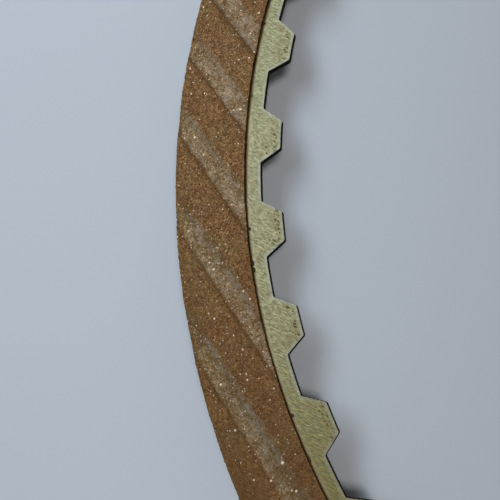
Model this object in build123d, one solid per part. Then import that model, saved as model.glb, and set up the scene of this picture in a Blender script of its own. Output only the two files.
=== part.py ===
from build123d import *
import os
from math import ceil, sqrt

# Clutch friction plate with an internal spline, lying flat with its axis along Z.
# A toothed steel core carries one grooved friction lining on each face.
# The origin is on the axis, halfway through the plate's thickness.
# The middle of one tooth lies on the +X axis. Lengths are millimetres, angles degrees.

# Friction linings
LINING_OUTER_DIAMETER = 160.0
LINING_INNER_DIAMETER = 143.9
LINING_THICKNESS = 0.6

# Steel core
CORE_OUTER_DIAMETER = 160.3
CORE_THICKNESS = 0.8

# Internal spline, punched through the core
TOOTH_COUNT = 42
SPLINE_ROOT_DIAMETER = 140.55
SPLINE_TIP_DIAMETER = 136.15
TOOTH_ROOT_WIDTH = 6.16
TOOTH_TIP_WIDTH = 3.16
ROOT_CORNER_RADIUS = 0.25
TIP_CORNER_RADIUS = 0.3

# Oil grooves: straight and parallel, right across the ring
GROOVE_PITCH = 6.08
GROOVE_DEPTH = 0.12
GROOVE_FLOOR_WIDTH = 1.8
STEEP_WALL_RUN = 0.12
EASY_WALL_RUN = 0.45
GROOVE_ACROSS_ANGLE = 37.55
GROOVE_FLOOR_SHIFT = -1.4

LINING_RADIUS = LINING_OUTER_DIAMETER / 2
ROOT_RADIUS = SPLINE_ROOT_DIAMETER / 2
TIP_RADIUS = SPLINE_TIP_DIAMETER / 2
CORE_FACE = CORE_THICKNESS / 2
PLATE_FACE = CORE_FACE + LINING_THICKNESS
GROOVE_FLOOR = PLATE_FACE - GROOVE_DEPTH


def tooth_outline():
    """One tooth in the +X direction, its flanks run on past the root and tip circles."""
    root_x = sqrt(ROOT_RADIUS**2 - (TOOTH_ROOT_WIDTH / 2) ** 2)
    tip_x = sqrt(TIP_RADIUS**2 - (TOOTH_TIP_WIDTH / 2) ** 2)
    flank_slope = (TOOTH_ROOT_WIDTH - TOOTH_TIP_WIDTH) / 2 / (root_x - tip_x)
    overrun = 1.0
    wide = TOOTH_ROOT_WIDTH / 2 + flank_slope * overrun
    narrow = TOOTH_TIP_WIDTH / 2 - flank_slope * overrun
    outer_x = root_x + overrun
    inner_x = tip_x - overrun
    corners = [(inner_x, -narrow), (outer_x, -wide), (outer_x, wide), (inner_x, narrow)]
    return make_face(Polyline(*corners, close=True))


def spline_hole():
    """The toothed opening in plan, with its corners rounded as a punch leaves them."""
    teeth = [Rot(0, 0, 360 / TOOTH_COUNT * n) * tooth_outline() for n in range(TOOTH_COUNT)]
    hole = Circle(ROOT_RADIUS) - teeth + Circle(TIP_RADIUS)
    tips = [v for v in hole.vertices() if v.center().length < TIP_RADIUS + 0.1]
    hole = fillet(tips, TIP_CORNER_RADIUS)
    roots = [v for v in hole.vertices() if v.center().length > ROOT_RADIUS - 0.01]
    return fillet(roots, ROOT_CORNER_RADIUS)


def core_plate():
    """The steel core: a thin disc with the spline punched through it."""
    blank = Circle(CORE_OUTER_DIAMETER / 2) - spline_hole()
    return extrude(blank, CORE_FACE, both=True)


def groove_cutter(distance):
    """A bar with the groove's section, its floor centred this far from the plate's axis."""
    half_floor = GROOVE_FLOOR_WIDTH / 2
    headroom = 1.0
    steep = STEEP_WALL_RUN / GROOVE_DEPTH * headroom
    easy = EASY_WALL_RUN / GROOVE_DEPTH * headroom
    section = Polyline(
        (-half_floor, GROOVE_FLOOR),
        (half_floor, GROOVE_FLOOR),
        (half_floor + easy, GROOVE_FLOOR + headroom),
        (-half_floor - steep, GROOVE_FLOOR + headroom),
        close=True,
    )
    bar = extrude(Plane.XZ * make_face(section), LINING_OUTER_DIAMETER, both=True)
    return Rot(0, 0, GROOVE_ACROSS_ANGLE) * Pos(distance, 0, 0) * bar


def upper_lining():
    """The upper lining: a flat ring of friction paper, its grooves cut from the top."""
    ring = Circle(LINING_RADIUS) - Circle(LINING_INNER_DIAMETER / 2)
    ring = Pos(0, 0, CORE_FACE) * extrude(ring, LINING_THICKNESS)
    most = ceil(LINING_RADIUS / GROOVE_PITCH)
    distances = [GROOVE_FLOOR_SHIFT + GROOVE_PITCH * n for n in range(-most, most + 1)]
    return ring - [groove_cutter(distance) for distance in distances]


def lower_lining():
    """The same ring turned over about the X axis and bonded to the other face."""
    return Rot(180, 0, 0) * upper_lining()


os.makedirs("parts", exist_ok=True)
export_step(core_plate(), "parts/core_plate.step")
export_step(upper_lining(), "parts/upper_lining.step")
export_step(lower_lining(), "parts/lower_lining.step")
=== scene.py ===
"""Clutch friction plate, dressed with finished pieces, materials, light and a camera.

The plate lies flat with its axis along Z, and the middle of its thickness is at the origin.
All lengths are metres unless a name says millimetres.
"""

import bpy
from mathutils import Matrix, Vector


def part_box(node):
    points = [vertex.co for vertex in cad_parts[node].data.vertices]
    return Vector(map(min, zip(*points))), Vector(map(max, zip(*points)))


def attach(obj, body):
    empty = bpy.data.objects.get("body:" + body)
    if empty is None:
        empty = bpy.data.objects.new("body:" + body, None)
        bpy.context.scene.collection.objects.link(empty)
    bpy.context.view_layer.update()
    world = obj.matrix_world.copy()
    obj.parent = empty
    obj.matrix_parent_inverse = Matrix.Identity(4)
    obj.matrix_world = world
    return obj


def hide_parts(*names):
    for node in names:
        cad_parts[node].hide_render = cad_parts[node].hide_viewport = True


bl_info = {
    "name": "Clutch Friction Plate",
    "version": (1, 0, 0),
    "blender": (4, 5, 0),
    "location": "3D View > Sidebar > Clutch Plate",
    "description": "Builds a splined clutch friction plate with grooved paper linings",
    "category": "Object",
}

from contextlib import contextmanager
from math import atan, ceil, cos, pi, radians, sin, sqrt, tan
from random import Random

import bmesh
import bpy
from mathutils import Quaternion, Vector

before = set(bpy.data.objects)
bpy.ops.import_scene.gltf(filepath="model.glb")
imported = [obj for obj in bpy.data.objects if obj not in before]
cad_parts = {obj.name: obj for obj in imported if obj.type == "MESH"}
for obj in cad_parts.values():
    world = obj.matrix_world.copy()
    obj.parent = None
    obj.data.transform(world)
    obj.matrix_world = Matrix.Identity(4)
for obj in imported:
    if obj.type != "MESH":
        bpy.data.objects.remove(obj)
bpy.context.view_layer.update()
CORE_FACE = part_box("core_plate")[1].z
LINING_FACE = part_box("upper_lining")[1].z
PLATE_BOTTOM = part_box("lower_lining")[0].z

MM = 0.001
BODY = "root"
MERGE_GAP = 0.0005 * MM
BLACK = (0.0, 0.0, 0.0)


def length(name, description, default):
    """A length property, in metres."""
    return bpy.props.FloatProperty(
        name=name, description=description, default=default, unit="LENGTH", precision=5
    )


def colour(name, description, default):
    """A colour property."""
    return bpy.props.FloatVectorProperty(
        name=name, description=description, default=default, subtype="COLOR", size=3
    )


class CoreSettings(bpy.types.PropertyGroup):
    """Sizes and colours of the steel core."""

    outer_radius: length("Outer Radius", "Outside radius of the steel core", 80.15 * MM)
    root_radius: length("Root Radius", "Radius of the circle between the teeth", 70.275 * MM)
    tip_radius: length("Tip Radius", "Radius of the circle through the tooth tips", 68.075 * MM)
    root_width: length("Root Width", "Width of a tooth where it meets the root circle", 6.16 * MM)
    tip_width: length("Tip Width", "Width of a tooth at its tip", 3.16 * MM)
    tip_corner: length("Tip Corner", "Rounding radius of a tooth's tip corners", 0.3 * MM)
    root_corner: length("Root Corner", "Rounding radius of a tooth's root corners", 0.25 * MM)
    rolled_edge: length("Rolled Edge", "How far the punched edges are rolled over", 0.05 * MM)
    tooth_count: bpy.props.IntProperty(
        name="Teeth", description="Number of internal teeth", default=42, min=3
    )
    steel_dark: colour("Dark Grain", "Darker streaks in the sheet", (0.062, 0.046, 0.004))
    steel_pale: colour("Pale Grain", "Paler streaks in the sheet", (0.220, 0.193, 0.066))
    # Painted shade: darker, yellower steel tones laid where the light lobes dip
    shaded_steel_dark: colour("Shaded Steel Dark", "Darker tone of the yellower steel", (0.055, 0.042, 0.0))
    shaded_steel_pale: colour("Shaded Steel Pale", "Paler tone of the yellower steel", (0.150, 0.124, 0.002))
    steel_brown: colour("Brown Patch", "Browner patches in the sheet", (0.126, 0.092, 0.025))
    stain: colour("Stain", "Olive spots behind the tooth tips", (0.055, 0.045, 0.0005))
    # A paler, greyer band along the punched edges, dimmed by the painted shade
    pale_edge_band: colour("Pale Edge Band", "Greyer steel along the punched edges", (0.190, 0.194, 0.160))
    # Residue beside the lining, and painted light that lifts the shade the lining casts there
    residue_and_painted_light: colour("Residue And Painted Light", "Paler steel beside the lining", (0.222, 0.177, 0.080))
    # Painted shade: the punched walls are coloured almost black, as walls turned from the light
    # look
    punched_wall_shade: colour("Punched Wall Shade", "Dark wall left by the punch", (0.013, 0.012, 0.009))
    sheen: colour("Sheen", "Tint of the steel's reflections", (0.93, 0.96, 0.68))


class LiningSettings(bpy.types.PropertyGroup):
    """Sizes and colours of the friction linings."""

    outer_radius: length("Outer Radius", "Outside radius of a lining", 80.0 * MM)
    inner_radius: length("Inner Radius", "Inside radius of a lining", 71.95 * MM)
    groove_pitch: length("Groove Pitch", "Distance from one groove to the next", 6.08 * MM)
    groove_depth: length("Groove Depth", "Depth of a groove", 0.12 * MM)
    floor_width: length("Floor Width", "Width of a groove's flat floor", 1.8 * MM)
    steep_run: length("Steep Run", "Width of a groove's steep wall in plan", 0.12 * MM)
    easy_run: length("Easy Run", "Width of a groove's easy wall in plan", 0.45 * MM)
    floor_shift: length("Floor Shift", "Nearest groove's distance from the axis", -1.4 * MM)
    across_angle: bpy.props.FloatProperty(
        name="Across Angle",
        description="Direction across the grooves, from the X axis",
        default=radians(37.55),
        subtype="ANGLE",
    )
    paper_dark: colour("Dark Paper", "Darkest grains of the paper", (0.018, 0.002, 0.0002))
    paper_pale: colour("Pale Paper", "Palest grains of the paper", (0.074, 0.037, 0.018))
    paper_tan: colour("Tan Paper", "Loose tan fibres in the paper", (0.165, 0.084, 0.024))
    dust: colour("Dust", "Greyish dust on the raised strips", (0.070, 0.033, 0.009))
    rust: colour("Rust", "Redder patches in the paper", (0.045, 0.010, 0.0007))
    film_green: colour("Green Film", "Thin film on a groove's floor", (0.052, 0.056, 0.022))
    film_white: colour("White Film", "Thick film on a groove's floor", (0.218, 0.206, 0.180))
    # Painted shade in the crease at the foot of each groove's steep wall
    painted_crease_shade: colour("Painted Crease Shade", "Dark foot of a groove's steep wall", (0.010, 0.002, 0.0003))
    cut_wall: colour("Cut Wall", "Dark cut edge of the paper", (0.032, 0.018, 0.002))
    fleck: colour("Fleck", "Pale mineral flecks in the paper", (0.80, 0.72, 0.60))
    sheen: colour("Sheen", "Tint of the paper's reflections", (1.0, 0.59, 0.25))
    glue_dark: colour("Dark Glue", "Darker tone of the adhesive", (0.015, 0.007, 0.003))
    glue_pale: colour("Pale Glue", "Paler tone of the adhesive", (0.06, 0.03, 0.012))


class StageSettings(bpy.types.PropertyGroup):
    """The floor, the light and the camera."""

    floor_colour: colour("Floor", "Pale floor under the plate", (0.483, 0.562, 0.648))
    # Painted shade: the floor is coloured duller on the ring's inner side
    floor_painted_shade: colour("Painted Shade Floor", "Floor on the ring's inner side", (0.367, 0.410, 0.465))
    floor_glow: colour("Floor Glow", "Keeps the far floor pale", (0.22, 0.25, 0.27))
    floor_gap: length("Floor Gap", "How far below the plate the floor lies", 4.2 * MM)
    floor_size: length("Floor Size", "Side of the floor", 3.0)
    key_power: bpy.props.FloatProperty(
        name="Key Power", description="Power of the main lamp", default=0.33, unit="POWER"
    )
    fill_power: bpy.props.FloatProperty(
        name="Fill Power", description="Power of the fill lamp", default=1.02, unit="POWER"
    )
    sky_strength: bpy.props.FloatProperty(
        name="Sky Strength", description="Strength of the even light all round", default=0.16
    )
    key_tint: colour("Key Tint", "Colour of the main lamp", (0.88, 0.95, 1.0))
    fill_tint: colour("Fill Tint", "Colour of the fill lamp", (1.0, 0.89, 0.83))
    sky_tint: colour("Sky Tint", "Colour of the even light", (1.0, 0.92, 0.85))
    backdrop: colour("Backdrop", "Pale room beyond the floor, only seen", (0.30, 0.33, 0.35))
    lens: bpy.props.FloatProperty(
        name="Lens", description="Focal length in millimetres", default=50.39
    )


# Selecting and shaping


def start_piece(name):
    """Names the primitive that was just added, and puts its place into its mesh."""
    piece = bpy.context.object
    piece.name = name
    piece.data.name = name
    bpy.ops.object.transform_apply(location=True, rotation=True, scale=True)
    return piece


def nothing_selected():
    bpy.ops.object.select_all(action="DESELECT")


def select_only(piece):
    """Selects one piece alone and makes it the active one."""
    nothing_selected()
    piece.select_set(True)
    bpy.context.view_layer.objects.active = piece


@contextmanager
def editing(piece):
    """Edit mode on one piece."""
    select_only(piece)
    bpy.ops.object.mode_set(mode="EDIT")
    yield
    bpy.ops.object.mode_set(mode="OBJECT")


def pick_all():
    bpy.ops.mesh.select_all(action="SELECT")


def pick(piece, kind, test):
    """In edit mode, selects each element that passes the test."""
    bpy.ops.mesh.select_mode(type=kind)
    bpy.ops.mesh.select_all(action="DESELECT")
    shape = bmesh.from_edit_mesh(piece.data)
    elements = {"VERT": shape.verts, "EDGE": shape.edges, "FACE": shape.faces}[kind]
    for element in elements:
        if test(element):
            element.select_set(True)
    shape.select_flush_mode()
    bmesh.update_edit_mesh(piece.data)


def radius_of(vertex):
    return vertex.co.xy.length


def bearing_of(vertex):
    """A vertex's angle round the axis, from +X."""
    return vertex.co.xy.angle_signed(Vector((1, 0))) if vertex.co.xy.length else 0.0


def level(height):
    """Moves what is selected to one height."""
    bpy.ops.transform.resize(value=(1, 1, 0), center_override=(0, 0, height))


def turn_copies(steps, angle, apart=False):
    """Spins what is selected anticlockwise about Z, joined up or as copies apart."""
    bpy.ops.mesh.spin(
        steps=steps, angle=angle, dupli=apart, center=(0, 0, 0), axis=(0, 0, -1)
    )


def add_group(piece, name, test):
    """A vertex group of the vertices that pass the test."""
    group = piece.vertex_groups.new(name=name)
    group.add([v.index for v in piece.data.vertices if test(v)], 1.0, "REPLACE")


def apply_modifier(piece, kind, **settings):
    """Adds a modifier and applies it."""
    select_only(piece)
    modifier = piece.modifiers.new(kind.title(), kind)
    for name, value in settings.items():
        setattr(modifier, name, value)
    bpy.ops.object.modifier_apply(modifier=modifier.name)


def clouds(name, size):
    """A cloud texture that pushes each way. A name that ends in Y gets a pattern of its own."""
    texture = bpy.data.textures.new(name, type="CLOUDS")
    texture.cloud_type = "COLOR"
    texture.noise_basis = "IMPROVED_PERLIN" if name.endswith("Y") else "ORIGINAL_PERLIN"
    texture.noise_scale = size
    texture.noise_depth = 2
    return texture


def smooth(piece, angle):
    """Smooth shading, broken at edges sharper than the angle."""
    select_only(piece)
    bpy.ops.object.shade_smooth_by_angle(angle=angle)


def radial_edge(name, inner, outer, bearing):
    """A mesh of one straight edge, from the inner to the outer radius at a bearing."""
    side = outer - inner
    nothing_selected()
    bpy.ops.mesh.primitive_plane_add(size=side, location=((inner + outer) / 2, side / 2, 0))
    piece = start_piece(name)
    with editing(piece):
        pick(piece, "VERT", lambda v: v.co.y > side / 2)
        bpy.ops.mesh.delete(type="VERT")
        pick_all()
        bpy.ops.transform.rotate(
            value=-bearing, orient_axis="Z", center_override=(0, 0, 0)
        )
    return piece


def finish_piece(piece, material, slot, *nodes):
    """Gives a piece its material, its body and the CAD nodes it stands for. The slot is not used.
    """
    piece.data.materials.clear()
    piece.data.materials.append(material)
    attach(piece, BODY)
    if nodes:
        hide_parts(*nodes)


def paint_walls(piece, material):
    """Gives a finished piece's upright faces a material of their own."""
    piece.data.materials.append(material)
    with editing(piece):
        pick(piece, "FACE", lambda f: abs(f.normal.z) < 0.5)
        piece.active_material_index = 1
        bpy.ops.object.material_slot_assign()


# Shader trees


class Socket:
    """An output of a shader tree. Arithmetic on it adds Math nodes."""

    def __init__(self, tree, output):
        self.tree = tree
        self.output = output

    def math(self, operation, *others):
        return self.tree.node("Math", {"operation": operation}, self, *others)

    def __add__(self, other):
        return self.math("ADD", other)

    def __sub__(self, other):
        return self.math("SUBTRACT", other)

    def __rsub__(self, other):
        return self.tree.node("Math", {"operation": "SUBTRACT"}, other, self)

    def __mul__(self, other):
        return self.math("MULTIPLY", other)

    def __truediv__(self, other):
        return self.math("DIVIDE", other)

    def __rtruediv__(self, other):
        return self.tree.node("Math", {"operation": "DIVIDE"}, other, self)

    def __abs__(self):
        return self.math("ABSOLUTE")

    __radd__ = __add__
    __rmul__ = __mul__

    def at_least(self, other):
        return self.math("MAXIMUM", other)

    def at_most(self, other):
        return self.math("MINIMUM", other)

    def step(self, start, end):
        """Rises smoothly from 0 at start to 1 at end. It falls if end comes first."""
        low, high = min(start, end), max(start, end)
        shown = (0.0, 1.0) if start < end else (1.0, 0.0)
        settings = {"interpolation_type": "SMOOTHSTEP"}
        return self.tree.node("MapRange", settings, self, low, high, *shown)


def in_use(sockets):
    """The sockets that a node shows with its present settings."""
    return [socket for socket in sockets if socket.enabled]


class Tree:
    """The shader tree of a material or a world, with one method for every kind of node."""

    def __init__(self, owner):
        owner.use_nodes = True
        self.owner = owner
        self.nodes = owner.node_tree.nodes
        self.links = owner.node_tree.links

    def join(self, value, target):
        """Links a socket to the target, or writes a plain value into it."""
        if isinstance(value, Socket):
            self.links.new(value.output, target)
        else:
            target.default_value = value

    def node(self, kind, settings, *values, output=None, **named):
        """Adds a node, sets it up, fills its sockets in order or by name, and gives an output."""
        node = self.nodes.new("ShaderNode" + kind)
        for name, value in settings.items():
            setattr(node, name, value)
        for target, value in zip(in_use(node.inputs), values):
            self.join(value, target)
        for name, value in named.items():
            self.join(value, node.inputs[name.replace("_", " ")])
        return Socket(self, node.outputs[output] if output else in_use(node.outputs)[0])

    def mix(self, factor, first, second):
        """Goes from the first colour to the second as factor goes from 0 to 1."""
        ends = [end if isinstance(end, Socket) else (*end, 1.0) for end in (first, second)]
        return self.node("Mix", {"data_type": "RGBA"}, factor, *ends)

    def place(self):
        """Object coordinates, in millimetres."""
        place = self.node("TexCoord", {}, output="Object")
        return self.node("VectorMath", {"operation": "SCALE"}, place, Scale=1 / MM)

    def axes(self, place):
        """A place's X, Y and Z."""
        return [self.node("SeparateXYZ", {}, place, output=axis) for axis in "XYZ"]

    def noise(self, place, scale, detail=2.0, roughness=0.5):
        """Soft noise, with this many patches a millimetre."""
        return self.node(
            "TexNoise", {}, Vector=place, Scale=scale, Detail=detail, Roughness=roughness
        )

    def bump(self, height, distance):
        """A bump of this height map, its full range being the distance."""
        return self.node("Bump", {}, Height=height, Distance=distance, output="Normal")

    def seen(self):
        """1 for rays that show a thing, straight, mirrored or through glass, and 0 for others."""
        straight, mirrored, through = [
            self.node("LightPath", {}, output=ray)
            for ray in ("Is Camera Ray", "Is Glossy Ray", "Is Transmission Ray")
        ]
        return straight.at_least(mirrored).at_least(through)

    def finish(self, **sockets):
        """Fills the sockets of a material's shader by name, and gives the material."""
        shader = self.nodes["Principled BSDF"]
        for name, value in sockets.items():
            self.join(value, shader.inputs[name.replace("_", " ")])
        return self.owner


def grains(tree, place, size, channel="Red"):
    """A random tone for each grain of this size in millimetres."""
    cell = tree.node("TexVoronoi", {}, Vector=place, Scale=1 / size, output="Color")
    return tree.node("SeparateColor", {}, cell, output=channel)


def flecks(tree, place, cell, share, smallest, largest):
    """A mask of specks in a share of the cells, and a tone for each. Sizes are millimetres."""
    # Fine noise pushes the place about, which makes the specks ragged
    jag = tree.node("TexNoise", {}, Vector=place, Scale=7.0, Detail=1.0, output="Color")
    half = 0.5 * largest
    ragged = tree.node(
        "VectorMath", {"operation": "MULTIPLY_ADD"}, jag, (largest, largest, largest), place
    )
    ragged = tree.node("VectorMath", {"operation": "SUBTRACT"}, ragged, (half, half, half))
    where = {"Vector": ragged, "Scale": 1 / cell}
    distance = tree.node("TexVoronoi", {}, **where, output="Distance") * cell
    chance = tree.node("TexVoronoi", {}, **where, output="Color")
    red = tree.node("SeparateColor", {}, chance, output="Red")
    green = tree.node("SeparateColor", {}, chance, output="Green")
    radius = green * green * (largest - smallest) + smallest
    inside = (distance / radius).step(1.1, 0.7)
    return inside * (share - red).step(0.0, 0.01), green


def painted_light_lobes(x, y):
    """Runs softly from 1 to -1 and back, three times round the ring. Painted light: colours are
    painted lighter where it is high and darker where it is low.
    """
    first_peak = radians(45)
    return (y.math("ARCTAN2", x) * 3 - 3 * first_peak).math("COSINE")


def upright_share(tree):
    """How squarely the surface faces up or down."""
    normal = tree.node("NewGeometry", {}, output="Normal")
    return abs(tree.node("SeparateXYZ", {}, normal, output="Z"))


def paper_material(settings):
    """Brown compressed paper: grains, pale flecks, pale film in the grooves, dark cut walls,
    painted shade in the grooves' creases and painted light in lobes round the ring.
    """
    tree = Tree(bpy.data.materials.new("friction_paper"))
    place = tree.place()
    x, y, z = tree.axes(place)
    side = z.math("SIGN")
    pitch = settings.groove_pitch / MM
    across = x * cos(settings.across_angle) + side * y * sin(settings.across_angle)
    phase = across - settings.floor_shift / MM + pitch / 2
    offset = tree.node("Math", {"operation": "FLOORED_MODULO"}, phase, pitch) - pitch / 2
    radius = (x * x + y * y).math("SQRT")
    outer, inner = settings.outer_radius / MM, settings.inner_radius / MM

    # Grains and clumps
    fine = grains(tree, place, 0.095)
    middling = grains(tree, place, 0.17, "Green")
    clumps = tree.noise(place, 1.5, 4.0, 0.7)
    tone = fine * 1.15 + middling * 0.65 + clumps * 1.7 - 1.32

    # Film on the groove's floor, and painted shade in the crease at the foot of its steep wall
    half = settings.floor_width / 2 / MM
    wander = (tree.noise(place, 1.1, 3.0, 0.6) - 0.5) * 0.8
    floor = (offset + wander * 0.25).step(-half - 0.10, -half + 0.30)
    floor = floor * (offset + wander).step(half + 0.90, half + 0.20)
    floor = floor * radius.step(outer - 0.12, outer - 0.55) * radius.step(inner, inner + 0.2)
    # Painted light: lobes round the ring make the paper paler, its film whiter and the crease
    # shade fainter where they peak
    painted_light = painted_light_lobes(x, y)
    thick = tree.noise(place, 0.62, 5.0, 0.7).step(0.34, 0.66)
    film = floor * (thick * 0.62 + 0.26)
    bite = (tree.noise(place, 0.8, 2.0) - 0.5).step(-0.16, 0.12)
    painted_crease_shade = abs(offset + half + 0.10 + wander * 0.10).step(0.46, 0.10) * (bite * 0.35 + 0.20)
    painted_crease_shade = painted_crease_shade * (1.0 - painted_light * 0.65)

    # Colours laid over one another, the film and the painted crease shade last
    # Painted light: the paper is paler where the lobes peak
    pale = (tone + painted_light * 0.15).at_least(0.0).at_most(1.0)
    base = tree.mix(pale, settings.paper_dark, settings.paper_pale)
    dusty = tree.noise(place, 0.9, 4.0, 0.65)
    base = tree.mix((dusty - 0.5).step(-0.04, 0.18) * 0.50, base, settings.dust)
    rusty = tree.noise(place, 0.55, 3.0, 0.6).step(0.46, 0.70)
    base = tree.mix(rusty * 0.35, base, settings.rust)
    olive = tree.noise(place, 0.30, 3.0, 0.6).step(0.50, 0.66)
    base = tree.mix(olive * 0.30, base, settings.film_green)
    tan = grains(tree, place, 0.15, "Blue").step(0.86, 0.97) * fine.step(0.2, 0.9)
    base = tree.mix(tan * 0.8, base, settings.paper_tan)
    greener = radius.step(outer - 3.0, outer - 0.8) * 0.45
    # Painted sheen: the film is whiter where the lobes peak
    veil = thick * 0.50 + tone * 0.90 + painted_light * 0.20 - greener - 0.13
    veil = veil.at_least(0.0).at_most(1.0)
    veil = tree.mix(veil, settings.film_green, settings.film_white)
    base = tree.mix(film, base, veil)
    base = tree.mix(painted_crease_shade, base, settings.painted_crease_shade)
    rim = radius.step(outer - 0.5, outer - 0.10).at_least(radius.step(inner + 0.2, inner))
    base = tree.mix(rim * 0.35, base, settings.cut_wall)

    # Mineral flecks of three sizes, closer together in the film
    more = film * 0.45
    dust, dust_tone = flecks(tree, place, 0.34, more + 0.46, 0.04, 0.09)
    small, small_tone = flecks(tree, place, 0.75, more + 0.60, 0.06, 0.13)
    large, large_tone = flecks(tree, place, 1.9, 0.38, 0.10, 0.20)
    base = tree.mix(dust * (dust_tone * 0.50 + 0.12), base, settings.fleck)
    base = tree.mix(small * (small_tone * 0.6 + 0.35), base, settings.fleck)
    base = tree.mix(large * (large_tone * 0.5 + 0.5), base, settings.fleck)

    cut = upright_share(tree).step(0.55, 0.25)
    base = tree.mix(cut * 0.92, base, settings.cut_wall)

    height = tone * 0.6 + small * 0.3 + large * 0.6
    gloss = fine * 0.55 + middling * 0.45 + (clumps - 0.5) * 0.7
    rough = 0.90 - gloss * 0.66 - film * 0.06 + painted_crease_shade * 0.10 - small.at_least(large) * 0.2
    return tree.finish(
        Base_Color=base, Roughness=rough, Normal=tree.bump(height, 0.04 * MM),
        IOR=1.59, Specular_IOR_Level=1.0, Specular_Tint=(*settings.sheen, 1.0),
    )


def tooth_depth(x, y, settings):
    """How far a place lies inside the punched outline, and outside the tip circle."""
    root, tip = settings.root_radius / MM, settings.tip_radius / MM
    half_root, half_tip = settings.root_width / 2 / MM, settings.tip_width / 2 / MM
    root_x = sqrt(root**2 - half_root**2)
    tip_x = sqrt(tip**2 - half_tip**2)
    slope = (half_root - half_tip) / (root_x - tip_x)
    pitch = 2 * pi / settings.tooth_count
    bearing = y.math("ARCTAN2", x)
    local = bearing - (bearing / pitch).math("ROUND") * pitch
    radius = (x * x + y * y).math("SQRT")
    along = radius * local.math("COSINE")
    aside = abs(radius * local.math("SINE"))
    flank = ((along - tip_x) * slope + half_tip - aside) * cos(atan(slope))
    tooth = flank.at_most(radius - tip)
    return tooth.at_least(radius - root), radius - tip


def steel_material(settings):
    """Dull khaki steel: streaked, stained behind the tooth tips, greyer along punched edges, and
    turned darker and yellower by painted shade in lobes round the ring.
    """
    tree = Tree(bpy.data.materials.new("core_steel"))
    place = tree.place()
    x, y, z = tree.axes(place)
    depth, from_tip = tooth_depth(x, y, settings)
    side = z.math("SIGN")

    # Streaks and a fine hatch, drawn out the way the sheet was rolled
    rolling = radians(28)
    along = x * cos(rolling) - y * sin(rolling)
    sideways = x * sin(rolling) + y * cos(rolling)
    rolled = tree.node("CombineXYZ", {}, along * 1.3, sideways * 3.6, side)
    streaks = tree.noise(rolled, 1.0, 1.0, 0.5) - 0.5
    drawn = tree.node("CombineXYZ", {}, along * 2.0, sideways * 6.0, side * 5)
    hatch = tree.noise(drawn, 1.0, 1.0, 0.5) - 0.5
    fine = grains(tree, place, 0.105) - 0.5
    mottle = tree.noise(place, 3.4, 3.0, 0.65) - 0.5
    tone = streaks * 1.8 + hatch * 2.6 + fine * 0.45 + mottle * 0.6 + 0.45
    share = tone.at_least(0.0).at_most(1.0)
    base = tree.mix(share, settings.steel_dark, settings.steel_pale)
    # Painted shade: darker, yellower steel where the light lobes dip
    shaded_steel = tree.mix(share, settings.shaded_steel_dark, settings.shaded_steel_pale)
    painted_shade = (-0.9 * painted_light_lobes(x, y)).at_least(0.0)
    base = tree.mix(painted_shade, base, shaded_steel)

    # Brown patches, stains behind the tooth tips, paler steel by the lining (residue, and painted
    # light against the lining's shade), and a paler band along the punched edges that painted
    # shade dims
    tooth = from_tip.step(2.6, 0.8)
    brown = (tree.noise(place, 0.9, 4.0, 0.6) + tooth * 0.05).step(0.46, 0.66)
    base = tree.mix(brown * 0.7, base, settings.steel_brown)
    band = from_tip.step(0.35, 0.60) * from_tip.step(2.0, 0.9)
    close = from_tip.step(0.30, 0.45) * from_tip.step(1.1, 0.7)
    stretched = tree.node("CombineXYZ", {}, along * 0.75, sideways * 1.35, side)
    spots, spot_tone = flecks(tree, stretched, 0.36, close * 1.1 + band * 0.25, 0.10, 0.22)
    base = tree.mix(spots * (spot_tone * 0.2 + 0.80), base, settings.stain)
    # Residue by the lining, and painted light that lifts the lining's shade
    residue_and_light = (from_tip + mottle * 0.2).step(3.30, 3.60) * 0.5
    base = tree.mix(residue_and_light, base, settings.residue_and_painted_light)
    patchy = tree.noise(place, 1.3, 3.0, 0.6).step(0.34, 0.62)
    rim = (depth + mottle * 0.15).step(0.38, 0.20) * (patchy * 0.45 + 0.55)
    # Painted shade dims the edge band where the light lobes dip
    rim = rim * (1.0 - painted_shade * 0.5)
    base = tree.mix(rim, base, settings.pale_edge_band)

    height = tone * 0.7
    rough = 0.41 + mottle * 0.2 + spots * 0.50 - tone * 0.14 + brown * 0.06
    return tree.finish(
        Base_Color=base, Roughness=rough, Normal=tree.bump(height, 0.012 * MM),
        IOR=1.53, Specular_IOR_Level=1.0, Specular_Tint=(*settings.sheen, 1.0),
    )


def punched_material(settings):
    """Wall that the punch left round the teeth, painted almost black: painted shade, as on walls
    turned from the light.
    """
    tree = Tree(bpy.data.materials.new("punched_wall_shade"))
    place = tree.place()
    tone = tree.noise(place, 3.0, 2.0)
    base = tree.mix(tone, BLACK, tuple(2 * part for part in settings.punched_wall_shade))
    return tree.finish(Base_Color=base, Roughness=0.9, Specular_IOR_Level=0.05)


def cut_paper_material(settings):
    """Dark ragged wall where a blade went through the paper."""
    tree = Tree(bpy.data.materials.new("cut_paper"))
    place = tree.place()
    tone = grains(tree, place, 0.12) * 0.5 + tree.noise(place, 2.5, 3.0, 0.6) - 0.2
    pale = tuple(2.2 * part for part in settings.cut_wall)
    dark = tuple(0.3 * part for part in settings.cut_wall)
    base = tree.mix(tone.at_least(0.0).at_most(1.0), dark, pale)
    return tree.finish(
        Base_Color=base, Roughness=0.95, Specular_IOR_Level=0.1,
        Normal=tree.bump(tone, 0.05 * MM),
    )


def adhesive_material(settings):
    """Dark brown adhesive that was squeezed out from under a lining."""
    tree = Tree(bpy.data.materials.new("adhesive"))
    place = tree.place()
    tone = tree.noise(place, 4.0, 2.0)
    base = tree.mix(tone, settings.glue_dark, settings.glue_pale)
    return tree.finish(Base_Color=base, Roughness=0.6, Normal=tree.bump(tone, 0.03 * MM))


# Operators, one for each kind of piece


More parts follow.
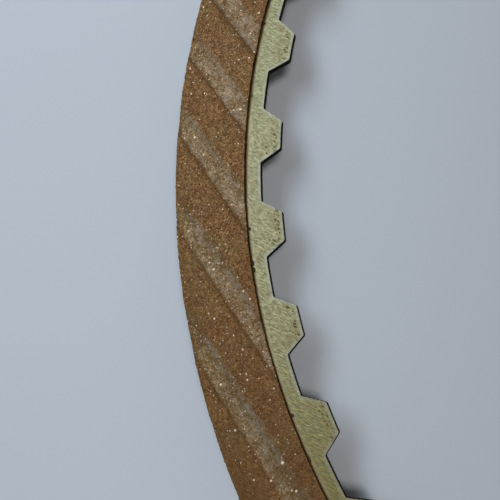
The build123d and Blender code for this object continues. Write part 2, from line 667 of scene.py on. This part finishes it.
class BuildCore(bpy.types.Operator):
    """Builds the toothed steel core"""

    bl_idname = "clutch.build_core"
    bl_label = "Build Core"

    # Edges along the arc beside a tooth, and across the tooth itself
    land_steps = 4
    tooth_steps = 8

    def execute(self, context):
        settings = context.scene.clutch_core
        pitch = 2 * pi / settings.tooth_count
        half_root = settings.root_width / 2
        root_x = sqrt(settings.root_radius**2 - half_root**2)
        tip_x = sqrt(settings.tip_radius**2 - (settings.tip_width / 2) ** 2)
        tooth_half = atan(half_root / root_x)
        land = pitch / 2 - tooth_half

        core = radial_edge("steel_core", settings.root_radius, settings.outer_radius, -pitch / 2)
        with editing(core):
            for steps, sweep in (
                (self.land_steps, land),
                (self.tooth_steps, 2 * tooth_half),
                (self.land_steps, land),
            ):
                turn_copies(steps, sweep)
            self.draw_tooth(core, settings, tooth_half, root_x, tip_x)
            self.round_corners(core, settings, half_root, root_x, tip_x)
            self.repeat_tooth(settings, pitch)
            pick_all()
            level(-CORE_FACE)
            bpy.ops.mesh.extrude_region_move(
                TRANSFORM_OT_translate={"value": (0, 0, 2 * CORE_FACE)}
            )
            pick_all()
            bpy.ops.mesh.normals_make_consistent(inside=False)
        smooth(core, radians(50))
        apply_modifier(
            core, "BEVEL", width=settings.rolled_edge, segments=2, limit_method="ANGLE",
            angle_limit=radians(60), use_clamp_overlap=True, harden_normals=True,
        )
        finish_piece(core, steel_material(settings), "core_steel", "core_plate")
        paint_walls(core, punched_material(settings))
        return {"FINISHED"}

    def draw_tooth(self, core, settings, tooth_half, root_x, tip_x):
        """Extrudes the middle of the inner arc inwards and narrows it to the tooth's tip."""
        turn_slack = 1e-5

        def on_tooth_base(edge):
            inner = all(radius_of(v) < settings.root_radius + MERGE_GAP for v in edge.verts)
            within = all(abs(bearing_of(v)) < tooth_half + turn_slack for v in edge.verts)
            return inner and within

        pick(core, "EDGE", on_tooth_base)
        bpy.ops.mesh.extrude_region_move(
            TRANSFORM_OT_translate={"value": (tip_x - root_x, 0, 0)}
        )
        root_bulge = settings.root_radius - root_x
        tip_bulge = settings.tip_radius - tip_x
        narrow = settings.tip_width / settings.root_width
        bpy.ops.transform.resize(
            value=(tip_bulge / root_bulge, narrow, 1), center_override=(tip_x, 0, 0)
        )

    def round_corners(self, core, settings, half_root, root_x, tip_x):
        """Bevels the four corners of the tooth, each to its own radius."""
        lean = atan((settings.root_width - settings.tip_width) / 2 / (root_x - tip_x))
        turn = pi / 2 - lean
        for middle, half, radius in (
            (tip_x, settings.tip_width / 2, settings.tip_corner),
            (root_x, half_root, settings.root_corner),
        ):
            corners = [Vector((middle, side * half, 0)) for side in (-1, 1)]
            pick(
                core, "VERT",
                lambda v: any((v.co - corner).length < 10 * MERGE_GAP for corner in corners),
            )
            bpy.ops.mesh.bevel(
                offset=radius * tan(turn / 2), segments=5, affect="VERTICES", clamp_overlap=False
            )

    def repeat_tooth(self, settings, pitch):
        """Copies the one tooth all the way round and joins the copies."""
        pick_all()
        copies = settings.tooth_count - 1
        turn_copies(copies, copies * pitch, apart=True)
        pick_all()
        bpy.ops.mesh.remove_doubles(threshold=MERGE_GAP)


class BuildLinings(bpy.types.Operator):
    """Builds the two grooved friction linings"""

    bl_idname = "clutch.build_linings"
    bl_label = "Build Linings"

    # Faces across the ring and round it, before the grooves are cut
    bands = 4
    steps = 1440

    def execute(self, context):
        settings = context.scene.clutch_lining
        paper, cut_paper = paper_material(settings), cut_paper_material(settings)
        upper = self.ring(settings)
        self.cut_grooves(upper, settings)
        self.add_walls(upper)
        self.fray_edges(upper, settings)
        smooth(upper, radians(35))
        finish_piece(upper, paper, "friction_paper", "upper_lining")
        paint_walls(upper, cut_paper)

        select_only(upper)
        bpy.ops.object.duplicate()
        lower = bpy.context.object
        lower.name = lower.data.name = "lower_paper_lining"
        lower.rotation_euler = (pi, 0, 0)
        bpy.ops.object.transform_apply(location=True, rotation=True, scale=True)
        finish_piece(lower, paper, "friction_paper", "lower_lining")
        paint_walls(lower, cut_paper)
        return {"FINISHED"}

    def ring(self, settings):
        """A flat ring of small faces at the height of the friction face."""
        ring = radial_edge("upper_paper_lining", settings.inner_radius, settings.outer_radius, 0)
        with editing(ring):
            pick_all()
            bpy.ops.mesh.subdivide(number_cuts=self.bands - 1)
            pick_all()
            turn_copies(self.steps, 2 * pi)
            pick_all()
            bpy.ops.mesh.remove_doubles(threshold=MERGE_GAP)
            pick_all()
            bpy.ops.transform.translate(value=(0, 0, LINING_FACE))
        return ring

    def section(self, settings):
        """The groove's section: each row steps down what lies between two distances."""
        half, depth = settings.floor_width / 2, settings.groove_depth
        steep, easy = settings.steep_run, settings.easy_run
        return (
            (-half - steep - 0.04 * MM, half + easy + 0.30 * MM, 0.0),
            (-half - steep, half + easy + 0.10 * MM, 0.10 * depth),
            (-half - 0.4 * steep, half + 0.75 * easy, 0.24 * depth),
            (-half - 0.1 * steep, half + 0.25 * easy, 0.28 * depth),
            (-half + 0.02 * MM, half - 0.10 * MM, 0.26 * depth),
            (-half + 0.07 * MM, half - 0.35 * MM, 0.12 * depth),
        )

    def cut_grooves(self, ring, settings):
        """Cuts the ring along every line of the groove's section, and steps the strips down."""
        across = Vector((cos(settings.across_angle), sin(settings.across_angle), 0))
        most = ceil(settings.outer_radius / settings.groove_pitch)
        pitch, shift = settings.groove_pitch, settings.floor_shift
        middles = [shift + pitch * number for number in range(-most, most + 1)]
        section = self.section(settings)
        with editing(ring):
            for middle in middles:
                for low, high, drop in section:
                    for distance in (middle + low, middle + high):
                        if abs(distance) < settings.outer_radius:
                            pick_all()
                            bpy.ops.mesh.bisect(plane_co=across * distance, plane_no=across)
            for low, high, drop in section:

                def in_strip(vertex, low=low, high=high):
                    phase = across.dot(vertex.co) - shift + pitch / 2
                    offset = phase % pitch - pitch / 2
                    return low - MERGE_GAP < offset < high + MERGE_GAP

                pick(ring, "VERT", in_strip)
                bpy.ops.transform.translate(value=(0, 0, -drop))

    def add_walls(self, ring):
        """Extrudes both cut edges down to the core and closes the underside."""
        row_height = 0.15 * MM
        with editing(ring):
            pick(ring, "EDGE", lambda e: e.is_boundary)
            bpy.ops.mesh.subdivide(number_cuts=1)
            pick(ring, "EDGE", lambda e: e.is_boundary)
            for row in range(2):
                bpy.ops.mesh.extrude_region_move(
                    TRANSFORM_OT_translate={"value": (0, 0, -row_height)}
                )
            level(CORE_FACE)
            bpy.ops.mesh.bridge_edge_loops()
            pick_all()
            bpy.ops.mesh.normals_make_consistent(inside=False)

    def fray_edges(self, ring, settings):
        """Roughens the cut edges, as paper is where a blade went through it."""
        middle = (settings.inner_radius + settings.outer_radius) / 2
        half = (settings.outer_radius - settings.inner_radius) / 2
        edge_reach, above_core = 0.01 * MM, 0.05 * MM

        def on_cut_edge(vertex):
            at_edge = abs(abs(radius_of(vertex) - middle) - half) < edge_reach
            return at_edge and vertex.co.z > CORE_FACE + above_core

        add_group(ring, "cut_edge", on_cut_edge)
        for size, strength in ((1.1 * MM, 0.12 * MM), (0.30 * MM, 0.42 * MM)):
            for axis in "XY":
                apply_modifier(
                    ring, "DISPLACE", texture=clouds("fray_" + axis, size),
                    texture_coords="LOCAL", direction=axis, strength=strength, mid_level=0.5,
                    vertex_group="cut_edge",
                )


class BuildAdhesive(bpy.types.Operator):
    """Builds the adhesive and the paper crumbs along the inner edge of each lining"""

    bl_idname = "clutch.build_adhesive"
    bl_label = "Build Adhesive"

    # Bearing in degrees; size along and across the edge, and distance from it, in millimetres.
    # The lower lining has none of these, and its other crumbs go all the way round.
    crumbs_seen = (
        (176.3, 0.20, 0.10, 0.22), (188.4, 0.36, 0.26, 0.20), (191.4, 0.50, 0.18, 0.16),
        (192.0, 0.55, 0.20, 0.18), (204.4, 0.40, 0.26, 0.18), (208.0, 0.70, 0.24, 0.06),
    )
    crumbs_unseen = 60
    crumb_seed = 42
    unseen_from = 215
    unseen_sweep = 315
    crumb_lift = 0.06 * MM
    crumb_flatness = 0.22
    bead_radius = 0.075 * MM
    bead_overlap = 0.01 * MM

    def execute(self, context):
        settings = context.scene.clutch_lining
        material = adhesive_material(settings)
        for name, side in (("upper", 1), ("lower", -1)):
            self.bead(settings, name + "_adhesive_bead", side, material)
            self.crumbs(settings, name + "_adhesive_crumbs", side, material)
        return {"FINISHED"}

    def bead(self, settings, name, side, material):
        """A thin uneven bead in the corner between the lining's wall and the core."""
        nothing_selected()
        bpy.ops.mesh.primitive_torus_add(
            major_radius=settings.inner_radius - self.bead_overlap,
            minor_radius=self.bead_radius,
            major_segments=1440, minor_segments=8, location=(0, 0, side * CORE_FACE),
        )
        bead = start_piece(name)
        apply_modifier(
            bead, "DISPLACE", texture=clouds(name + "_lumps", 0.7 * MM),
            texture_coords="LOCAL", direction="RGB_TO_XYZ", strength=0.22 * MM, mid_level=0.5,
        )
        smooth(bead, radians(60))
        finish_piece(bead, material, "friction_paper")

    def lump(self, name):
        """A dented lump about a millimetre across."""
        nothing_selected()
        bpy.ops.mesh.primitive_ico_sphere_add(subdivisions=3, radius=0.5 * MM)
        lump = start_piece(name)
        apply_modifier(
            lump, "DISPLACE", texture=clouds(name + "_dents", 0.4 * MM),
            texture_coords="LOCAL", strength=0.5 * MM, mid_level=0.5,
        )
        smooth(lump, radians(60))
        return lump

    def crumb_places(self, side):
        """Rows like those of crumbs_seen, for the whole inner edge of one lining."""
        chance = Random(self.crumb_seed)
        places = list(self.crumbs_seen) if side > 0 else []
        sweep = self.unseen_sweep if side > 0 else 360
        for number in range(self.crumbs_unseen):
            share = (number + chance.random()) / self.crumbs_unseen
            bearing = self.unseen_from + sweep * share
            places.append((
                bearing, chance.uniform(0.15, 0.6), chance.uniform(0.10, 0.24),
                chance.uniform(0.05, 0.22),
            ))
        return places

    def crumbs(self, settings, name, side, material):
        """One lump, copied to every place where a crumb clings to the edge."""
        lump = self.lump(name)
        copies = []
        for bearing, along, across, gap in self.crumb_places(side):
            select_only(lump)
            bpy.ops.object.duplicate()
            crumb = bpy.context.object
            turn = radians(bearing)
            reach = settings.inner_radius - gap * MM
            height = side * (CORE_FACE + self.crumb_lift)
            crumb.location = (reach * cos(turn), reach * sin(turn), height)
            crumb.rotation_euler = (0, 0, turn)
            crumb.scale = (across, along, self.crumb_flatness)
            copies.append(crumb)
        select_only(lump)
        bpy.ops.object.delete()
        for crumb in copies:
            crumb.select_set(True)
        bpy.context.view_layer.objects.active = copies[0]
        bpy.ops.object.transform_apply(location=True, rotation=True, scale=True)
        bpy.ops.object.join()
        crumbs = bpy.context.object
        crumbs.name = crumbs.data.name = name
        finish_piece(crumbs, material, "friction_paper")


class BuildStage(bpy.types.Operator):
    """Sets up the floor, the lamps and the camera"""

    bl_idname = "clutch.build_stage"
    bl_label = "Build Stage"

    # The middle of the stretch that the photograph shows, and where its camera was
    target = Vector((-70 * MM, -12 * MM, 0))
    camera_place = (-47.825 * MM, -25.266 * MM, 70.475 * MM)
    camera_turn = (radians(10.619), radians(17.621), radians(3.297))

    def execute(self, context):
        settings = context.scene.clutch_stage
        self.lay_floor(settings)
        self.add_lamp(
            "key_lamp", aim=(-0.313, 0.365, 0.878), distance=0.24, sides=(0.10, 0.24),
            turn=radians(-36), power=settings.key_power, tint=settings.key_tint,
        )
        self.add_lamp(
            "fill_lamp", aim=(0.36, -0.10, 0.93), distance=0.50, sides=(0.10, 0.10),
            turn=0, power=settings.fill_power, tint=settings.fill_tint,
        )
        self.light_sky(context, settings)
        self.place_camera(context, settings)
        context.scene.view_settings.view_transform = "Standard"
        return {"FINISHED"}

    def lay_floor(self, settings):
        """A plain floor with painted shade on the ring's inner side, kept pale beyond the lamps.
        """
        nothing_selected()
        height = PLATE_BOTTOM - settings.floor_gap
        bpy.ops.mesh.primitive_plane_add(size=settings.floor_size, location=(0, 0, height))
        floor = start_piece("floor")
        tree = Tree(bpy.data.materials.new("floor_paper"))
        x, y = tree.axes(tree.place())[:2]
        # Painted shade: the floor is coloured duller towards the ring's inner side
        bright_until, dull_from = -95, -15
        painted_shade = x.step(bright_until, dull_from)
        base = tree.mix(painted_shade, settings.floor_colour, settings.floor_painted_shade)
        # The glow is only seen. It lights nothing.
        glow_from, glow_full = 110, 500
        far = (x * x + y * y).math("SQRT").step(glow_from, glow_full)
        glow = tree.mix(far * tree.seen(), BLACK, settings.floor_glow)
        material = tree.finish(
            Base_Color=base, Roughness=0.9, Emission_Color=glow, Emission_Strength=1.0
        )
        floor.data.materials.append(material)

    def add_lamp(self, name, aim, distance, sides, turn, power, tint):
        """A soft lamp that looks at the stretch of the ring that the camera sees."""
        nothing_selected()
        place = self.target + Vector(aim).normalized() * distance
        bpy.ops.object.light_add(type="AREA", location=place)
        lamp = bpy.context.object
        lamp.name = name
        turned = (self.target - place).to_track_quat("-Z", "Y") @ Quaternion((0, 0, 1), turn)
        lamp.rotation_euler = turned.to_euler()
        lamp.data.shape = "RECTANGLE"
        lamp.data.size, lamp.data.size_y = sides
        lamp.data.energy = power
        lamp.data.color = tint

    def light_sky(self, context, settings):
        """An even light all round, and a pale room that is seen but gives no light."""
        world = bpy.data.worlds.new("even_light")
        context.scene.world = world
        tree = Tree(world)
        tree.nodes.remove(tree.nodes["Background"])
        light = tree.node("Background", {}, (*settings.sky_tint, 1.0), settings.sky_strength)
        room = tree.node("Background", {}, (*settings.backdrop, 1.0), 1.0)
        choice = tree.node("MixShader", {}, tree.seen(), light, room)
        tree.join(choice, tree.nodes["World Output"].inputs["Surface"])

    def place_camera(self, context, settings):
        """Looks down from inside the ring at a short stretch of it, as the photograph does."""
        bpy.ops.object.camera_add(location=self.camera_place, rotation=self.camera_turn)
        camera = bpy.context.object
        camera.data.sensor_width = 36
        camera.data.lens = settings.lens
        camera.data.clip_start = 1 * MM
        context.scene.camera = camera


class CLUTCH_PT_panel(bpy.types.Panel):
    """Sizes, colours and the operators that build the plate"""

    bl_label = "Clutch Plate"
    bl_idname = "CLUTCH_PT_panel"
    bl_space_type = "VIEW_3D"
    bl_region_type = "UI"
    bl_category = "Clutch Plate"

    def draw(self, context):
        for kind in BUILDERS:
            self.layout.operator(kind.bl_idname)
        for group in SETTINGS:
            settings = getattr(context.scene, group)
            for name in settings.__annotations__:
                self.layout.prop(settings, name)


SETTINGS = {
    "clutch_core": CoreSettings,
    "clutch_lining": LiningSettings,
    "clutch_stage": StageSettings,
}
BUILDERS = (BuildCore, BuildLinings, BuildAdhesive, BuildStage)


def register():
    for kind in (*SETTINGS.values(), *BUILDERS, CLUTCH_PT_panel):
        bpy.utils.register_class(kind)
    for name, kind in SETTINGS.items():
        setattr(bpy.types.Scene, name, bpy.props.PointerProperty(type=kind))


def unregister():
    for name in SETTINGS:
        delattr(bpy.types.Scene, name)
    for kind in (CLUTCH_PT_panel, *reversed(BUILDERS), *SETTINGS.values()):
        bpy.utils.unregister_class(kind)


def main():
    register()
    bpy.ops.clutch.build_core()
    bpy.ops.clutch.build_linings()
    bpy.ops.clutch.build_adhesive()
    bpy.ops.clutch.build_stage()


if __name__ == "__main__":
    main()
